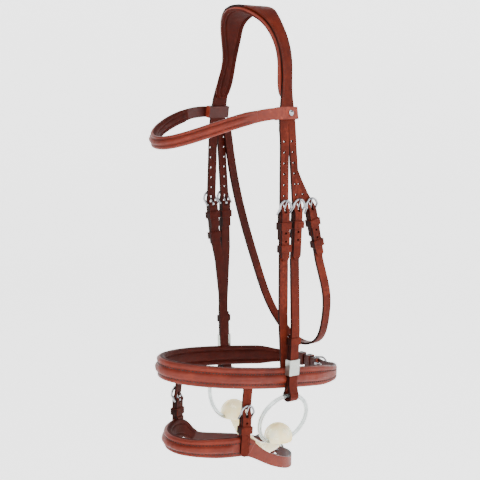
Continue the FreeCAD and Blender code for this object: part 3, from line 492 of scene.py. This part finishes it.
def plan_point(band, angle):
    """Point and outward normal of a noseband's inner face at a plan angle in degrees."""
    turn = math.radians(angle)
    cos, sin = math.cos(turn), math.sin(turn)
    power = 2.0 / (band["square"] if sin > 0 else 2.0)
    long = band["back"] if sin > 0 else band["front"]
    x = band["half"] * math.copysign(abs(cos) ** power, cos)
    y = band["middle"] + long * math.copysign(abs(sin) ** power, sin)
    fold = 2.0 / power
    back = y - band["middle"]
    normal = np.array([math.copysign(abs(x / band["half"]) ** (fold - 1), x) / band["half"],
                       math.copysign(abs(back / long) ** (fold - 1), back) / long, 0])
    normal /= np.linalg.norm(normal)
    return np.array([x, y, band["level"](x, y)]), normal


SAMPLES = 1200              # plan angles that a band's length is measured with
NUDGE = 0.2                 # degrees to each side that give a band's direction


def band_frames(band, first, last, count):
    """Frames along a noseband, evenly spaced along its length."""
    tried = np.linspace(first, last, SAMPLES)
    raw = [plan_point(band, a)[0] for a in tried]
    steps = np.r_[0, np.cumsum(np.linalg.norm(np.diff(raw, axis=0), axis=1))]
    angles = np.interp(np.linspace(0, steps[-1], count), steps, tried)
    frames = []
    for angle in angles:
        here, normal = plan_point(band, angle)
        ahead = plan_point(band, angle + NUDGE)[0] - plan_point(band, angle - NUDGE)[0]
        up = np.cross(normal, ahead)
        up *= math.copysign(1, up[2]) / np.linalg.norm(up)
        frames.append((here, up, normal))
    return frames


# outer face from the top edge down, then the inner face up again: share of the height,
# distance from the strap's inner face, and how much of the raised work is added to it
BAND_OUT = [(0.505, 0.4, 0.0), (0.485, 2.3, 0.1), (0.43, 3.6, 0.5), (0.36, 3.9, 0.8),
            (0.29, 3.75, 0.4), (0.245, 3.15, 0.0), (0.215, 3.02, 0.0), (0.185, 3.15, 0.1),
            (0.15, 3.5, 1.1), (0.085, 3.6, 2.5), (-0.03, 3.65, 3.2), (-0.14, 3.65, 2.7),
            (-0.225, 3.55, 1.2), (-0.262, 3.15, 0.1), (-0.292, 3.02, 0.0), (-0.322, 3.1, 0.0),
            (-0.36, 3.5, 0.25), (-0.43, 3.55, 0.3), (-0.482, 2.8, 0.0), (-0.50, 1.6, 0.0)]
BAND_IN = [(-0.505, -1.8, 0.0), (-0.49, -3.8, -0.1), (-0.44, -4.8, -0.3), (-0.37, -5.0, -0.5),
           (-0.31, -4.5, -0.2), (-0.275, -3.8, 0.2), (-0.25, -3.9, 0.2), (-0.20, -4.7, -0.2),
           (-0.10, -4.9, -0.6), (0.0, -4.95, -0.7), (0.10, -4.9, -0.6), (0.20, -4.7, -0.2),
           (0.25, -3.9, 0.2), (0.275, -3.8, 0.2), (0.31, -4.5, -0.2), (0.37, -5.0, -0.5),
           (0.45, -4.8, -0.3), (0.50, -3.6, -0.1), (0.515, -1.6, 0.0)]
FINE = 3                    # mesh points for each point of a profile
BAND_ROWS = (0.215, -0.292)     # the stitch grooves, as shares of the height
BAND_ROW_OUT = 3.25         # thread's distance from the strap's inner face


def stitch_rows(name, rows, trim, body, **sizes):
    """Stitches along each row of (point, normal), short of the cover's ends by trim points."""
    for row, points in rows.items():
        label = "%s_stitch_%s" % (name, "top" if row > 0 else "bottom")
        kept = points[trim:-trim]
        stitches(label, [p for p, n in kept], [n for p, n in kept], body, **sizes)


def shell(name, band, first, last, count, high, raised, node):
    """Padded leather cover of a noseband: rolled top edge, stitched grooves and a raised middle."""
    frames = band_frames(band, first, last, count)
    profiles = []
    rows = {row: [] for row in BAND_ROWS}
    for i, (here, up, normal) in enumerate(frames):
        tall = high(here[0], here[1])
        lift = raised(here)
        puff = min(1.0, 0.84 + 0.05 * min(i, count - 1 - i))
        ripple = 0.10 * math.sin(i * 0.61) * math.sin(i * 0.23 + 1.7)
        swell = lift + ripple * min(lift, 1.0)
        profile = []
        for u, v, add in BAND_OUT + BAND_IN:
            out = (v + add * swell) * (puff if v < 0 else 1)
            profile.append((u * tall * (0.97 + 0.03 * puff), out))
        profiles.append(closed_curve(profile, FINE))
        for row in rows:
            rows[row].append((here + up * (row * tall) + normal * BAND_ROW_OUT, normal))
    made = sweep(name, frames, profiles, ROOT, FINE * len(BAND_OUT))
    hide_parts(node)
    stitch_rows(name, rows, 3, ROOT)


def upper_high(x, y):
    """Height of the upper cover, which narrows behind the cheeks."""
    return 25.6 - 10.5 * ease(y, 70, 120)


def upper_raised(here):
    """The raised middle fades out towards the chin."""
    return 1.0 - ease(here[1], 62, 92)


def lower_high(x, y):
    """Height of the nose pad, which narrows just behind the link tabs."""
    tab = TAB_Y[side_of(x)]
    return 20.8 + 3.0 * ease(y, -116, -82) - 7.5 * ease(y, tab + 1, tab + 23)


def lower_raised(here):
    """The nose pad is fullest in front and flat where the link tabs are sewn on."""
    tab = TAB_Y[side_of(here[0])]
    return 1.2 * ease(-here[1], 12 - tab, 26 - tab)


shell("upper_noseband_shell", UPPER, 122, 420, 340, upper_high, upper_raised,
      "upper_noseband_padding")
shell("lower_noseband_shell", LOWER, 190, 352, 220, lower_high, lower_raised, "lower_noseband_padding")


# ---------------------------------------------------------------- browband
BROW_HALF, BROW_LONG, BROW_Z, BROW_DIP = 69.0, 133.5, -129.5, 34.0
BROW_FIRST, BROW_LAST, BROW_COUNT = 19, 161, 240
BROW_NUDGE = 0.003          # radians to each side that give the browband's direction
BROW_ROWS = (0.245, -0.245)
BROW_ROW_OUT = 5.0


def brow_point(turn):
    """Point of the browband's middle line: it dips towards the forehead."""
    y = -BROW_LONG * math.sin(turn)
    dip = BROW_DIP * max(0.0, (-y - 20.0) / 115.0) ** 1.55
    return np.array([BROW_HALF * math.cos(turn), y, BROW_Z - dip])


def brow_frame(angle):
    """Point, up direction and outward normal at a plan angle in degrees."""
    turn = math.radians(angle)
    normal = np.array([math.cos(turn) / BROW_HALF, -math.sin(turn) / BROW_LONG, 0])
    normal /= np.linalg.norm(normal)
    ahead = brow_point(turn + BROW_NUDGE) - brow_point(turn - BROW_NUDGE)
    up = np.cross(normal, ahead)
    up *= math.copysign(1, up[2]) / np.linalg.norm(up)
    return brow_point(turn), up, normal


BROW_PROFILE = [(0.50, 2.6, 0.0), (0.47, 4.6, 0.1), (0.40, 5.25, 0.5), (0.32, 5.25, 0.6),
                (0.26, 4.95, 0.0), (0.225, 4.9, 0.0), (0.18, 5.1, 0.9), (0.09, 5.2, 2.3),
                (0.0, 5.25, 2.7), (-0.09, 5.2, 2.3), (-0.18, 5.1, 0.9), (-0.225, 4.9, 0.0),
                (-0.26, 4.95, 0.0), (-0.32, 5.2, 0.4), (-0.40, 5.2, 0.4), (-0.47, 4.4, 0.0),
                (-0.50, 2.4, 0.0), (-0.505, 0.0, 0.0), (-0.45, -1.5, -0.2), (-0.30, -2.0, -0.3),
                (-0.22, -1.5, 0.0), (-0.12, -2.0, -0.4), (0.0, -2.1, -0.5), (0.12, -2.0, -0.4),
                (0.22, -1.5, 0.0), (0.30, -2.0, -0.3), (0.45, -1.5, -0.2), (0.505, 0.2, 0.0)]
BROW_OUTER = 17             # the first points of the profile are the outer leather


def browband_shell():
    """Padded cover of the browband: it thins out into the plain strap at both ends."""
    frames, profiles = [], []
    rows = {row: [] for row in BROW_ROWS}
    for i, angle in enumerate(np.linspace(BROW_FIRST, BROW_LAST, BROW_COUNT)):
        here, up, normal = brow_frame(angle)
        full = ease(min(angle - BROW_FIRST, BROW_LAST - angle), 0, 6)
        tall = 14.3 + 1.2 * full
        lift = ease(min(angle, 180 - angle), 22, 33)
        ripple = 1 + 0.05 * math.sin(i * 0.5) * math.sin(i * 0.17)
        frames.append((here, up, normal))
        profile = []
        for u, v, add in BROW_PROFILE:
            flat = min(v, 4.88) if v > 3.5 else 2.12
            profile.append((u * tall, flat + (v - flat) * full + add * lift * ripple))
        profiles.append(closed_curve(profile, FINE))
        for row in rows:
            rows[row].append((here + up * (row * tall) + normal * BROW_ROW_OUT, normal))
    made = sweep("browband_shell", frames, profiles, "browband_body", FINE * BROW_OUTER)
    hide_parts("browband_padding")
    stitch_rows("browband", rows, 4, "browband_body", pitch=3.6, length=2.4, radius=0.36)


browband_shell()


# ---------------------------------------------------------------- headpiece
ARCH = [(0, -0.9), (17, -3.4), (30.8, -12), (43, -30.5), (53, -65.5), (60.3, -104), (65, -130),
        (67.6, -159)]
ARCH_COUNT = 420
# where the front and rear edges stand at each level, for the left (1) and the right (-1) leg
PAD_LEVELS = [30, -1.5, -14, -31, -65, -98, -112]
PAD_FRONT = {1: [-23, -23, -11, -1, 4.5, 0, 1], -1: [-23, -23, -17, -9.5, 0.5, -5, -4]}
PAD_REAR = {1: [26, 26, 22.5, 23.5, 24.5, 18.5, 13.5], -1: [26, 26, 22.5, 23.5, 22, 18.5, 13.5]}
CROWN_LEVELS = [30, -1.5, -14, -31, -65, -104, -130]
CROWN_FRONT = {1: [-20, -20, -7, 1.5, 7, 1, -6], -1: [-20, -20, -14, -6.5, 3.5, -3.5, -6.5]}
CROWN_REAR = {1: [24, 24, 20, 21.5, 23.5, 17.5, 17], -1: [24, 24, 20, 21.5, 21, 17.5, 17]}


def arch_frames(count):
    """Frames down both legs of the headpiece: y is across the strap, the normal points out."""
    points = [(-x, z) for x, z in reversed(ARCH[1:])] + ARCH
    line = smooth_curve(points, count)
    frames = []
    for i, (x, z) in enumerate(line):
        run = line[min(i + 1, count - 1)] - line[max(i - 1, 0)]
        run /= np.linalg.norm(run)
        frames.append((np.array([x, 0, z]), np.array([0, 1.0, 0]), np.array([-run[1], 0, run[0]])))
    return frames


def edge_at(levels, table, here):
    """Where an edge of the headpiece stands at a point of the arch: the two legs meet at the top."""
    share = ease(here[0], -20, 20)
    found = []
    for side in (-1, 1):
        line = smooth_curve(sorted(zip(levels, table[side])), 120)
        found.append(float(np.interp(here[2], line[:, 0], line[:, 1])))
    return found[0] * (1 - share) + found[1] * share


# distance in from an edge and depth: the outer face, then the inner face back to the edge
PAD_SHAPE = [(0.0, -2.4), (0.7, -0.7), (2.2, -0.12), (3.8, -0.3), (8.0, -0.3)]
PAD_UNDER = [(9.5, -4.7), (7.8, -4.5), (6.7, -3.7), (6.1, -3.7), (5.0, -4.7), (2.8, -5.4),
             (0.8, -4.5)]
PAD_OUTER = 2 * len(PAD_SHAPE) + 1      # points of the outer leather
PAD_END = -112                          # level at which the padding ends
PAD_TAPER = 10.0                        # its edges draw in over this last stretch


def pad_profile(front, rear):
    """Rolled front and rear edges, grooves and a flat middle, between two edges."""
    middle = (front + rear) / 2
    outer = [(front + d, v) for d, v in PAD_SHAPE] + [(front + (rear - front) / 2, -0.3)]
    outer += [(rear - d, v) for d, v in reversed(PAD_SHAPE)]
    inner = [(rear - d, v) for d, v in reversed(PAD_UNDER)] + [(middle, -4.75)]
    return outer + inner + [(front + d, v) for d, v in PAD_UNDER]


def headpiece_pad():
    """Padded lining under the crown, with rounded ends on both legs."""
    frames = [f for f in arch_frames(ARCH_COUNT) if f[0][2] > PAD_END]
    profiles = []
    for here, u_dir, v_dir in frames:
        front = edge_at(PAD_LEVELS, PAD_FRONT, here)
        rear = edge_at(PAD_LEVELS, PAD_REAR, here)
        tip = max(0.0, min(1.0, (PAD_END + PAD_TAPER - here[2]) / PAD_TAPER))
        front += 7.0 * (1 - math.sqrt(1 - tip ** 2 * 0.98))
        rear -= 3.0 * (1 - math.sqrt(1 - tip ** 2 * 0.98))
        profiles.append(closed_curve(pad_profile(front, rear), FINE))
    made = sweep("headpiece_pad", frames, profiles, ROOT, FINE * PAD_OUTER)
    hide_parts("headpiece_padding")


CROWN_END = -119            # level at which the crown's stitching ends
CROWN_INSET = 2.4           # from the strap's edge in to the row
CROWN_ROW_OUT = 2.95


def headpiece_stitching():
    """A row of stitches along both edges of the crown strap."""
    frames = [f for f in arch_frames(ARCH_COUNT) if f[0][2] > CROWN_END]
    rows = (("front", CROWN_FRONT, CROWN_INSET), ("rear", CROWN_REAR, -CROWN_INSET))
    for label, table, inset in rows:
        line = []
        for here, u_dir, v_dir in frames:
            y = edge_at(CROWN_LEVELS, table, here) + inset
            line.append(np.array([here[0], y, here[2]]) + v_dir * CROWN_ROW_OUT)
        stitches("headpiece_stitch_" + label, line, [f[2] for f in frames], ROOT, 3.4, 2.3, 0.34)


headpiece_pad()
headpiece_stitching()


# ---------------------------------------------------------------- floor, light and camera
def area_light(name, place, target, power, size):
    """Soft rectangular light that looks at a point."""
    lamp = bpy.data.lights.new(name, "AREA")
    lamp.shape = "RECTANGLE"
    lamp.size, lamp.size_y = size
    lamp.energy = power
    made = bpy.data.objects.new(name, lamp)
    bpy.context.scene.collection.objects.link(made)
    made.location = place
    made.rotation_euler = (Vector(target) - Vector(place)).to_track_quat("-Z", "Y").to_euler()
    return made


FLOOR_LEVEL = -0.80
# radius and rise of the floor's rings, in metres, from its middle to its curved-up rim
FLOOR_RINGS = [(1.5, 0.0), (3.0, 0.0), (4.2, 0.15), (5.0, 0.7), (5.4, 1.6), (5.6, 3.4)]
FLOOR_SIDES = 64
FLOOR_GLOW = 1.5


def floor():
    """Pale floor that curves up far behind the object on every side."""
    s = Shader("floor_paint")
    tone = s.noise(1.5, 3, 0.5)
    s.link(s.ramp(tone, [(0.3, linear(250, 250, 250)), (0.7, linear(255, 255, 255))]),
           s.bsdf.inputs["Base Color"])
    s.set(Roughness=0.9, Specular_IOR_Level=0.1, Emission_Color=(1, 1, 1, 1),
          Emission_Strength=FLOOR_GLOW)
    verts = [Vector((0, 0, FLOOR_LEVEL))]
    for radius, rise in FLOOR_RINGS:
        for k in range(FLOOR_SIDES):
            a = 2 * math.pi * k / FLOOR_SIDES
            verts.append(Vector((radius * math.cos(a), radius * math.sin(a), FLOOR_LEVEL + rise)))
    faces = [(0, 1 + k, 1 + (k + 1) % FLOOR_SIDES) for k in range(FLOOR_SIDES)]
    for r in range(len(FLOOR_RINGS) - 1):
        a, b = 1 + r * FLOOR_SIDES, 1 + (r + 1) * FLOOR_SIDES
        for k in range(FLOOR_SIDES):
            n = (k + 1) % FLOOR_SIDES
            faces.append((a + k, b + k, b + n, a + n))
    data = bpy.data.meshes.new("floor")
    data.from_pydata([tuple(v) for v in verts], [], faces)
    data.polygons.foreach_set("use_smooth", [True] * len(data.polygons))
    data.materials.append(s.material)
    made = bpy.data.objects.new("floor", data)
    bpy.context.scene.collection.objects.link(made)


floor()
world = bpy.data.worlds.new("studio")
bpy.context.scene.world = world
world.use_nodes = True
background = world.node_tree.nodes["Background"]
background.inputs["Color"].default_value = (1, 1, 1, 1)
background.inputs["Strength"].default_value = 0.45
area_light("key", (1.6, -1.8, 1.4), (0, 0, -0.3), 46, (1.6, 1.6))
area_light("top", (0.2, 0.1, 2.0), (0, 0, -0.2), 34, (2.2, 2.2))
area_light("fill", (2.4, 0.9, 0.2), (0, 0, -0.3), 16, (1.4, 1.4))

camera_data = bpy.data.cameras.new("camera")
camera_data.sensor_width = 36.0
camera_data.lens = 70.38
camera = bpy.data.objects.new("camera", camera_data)
bpy.context.scene.collection.objects.link(camera)
camera.location = (0.9075, -0.7744, -0.0966)
aim = Vector((-0.0154, 0.0, -0.2886))
camera.rotation_euler = (aim - camera.location).to_track_quat("-Z", "Y").to_euler()
bpy.context.scene.camera = camera
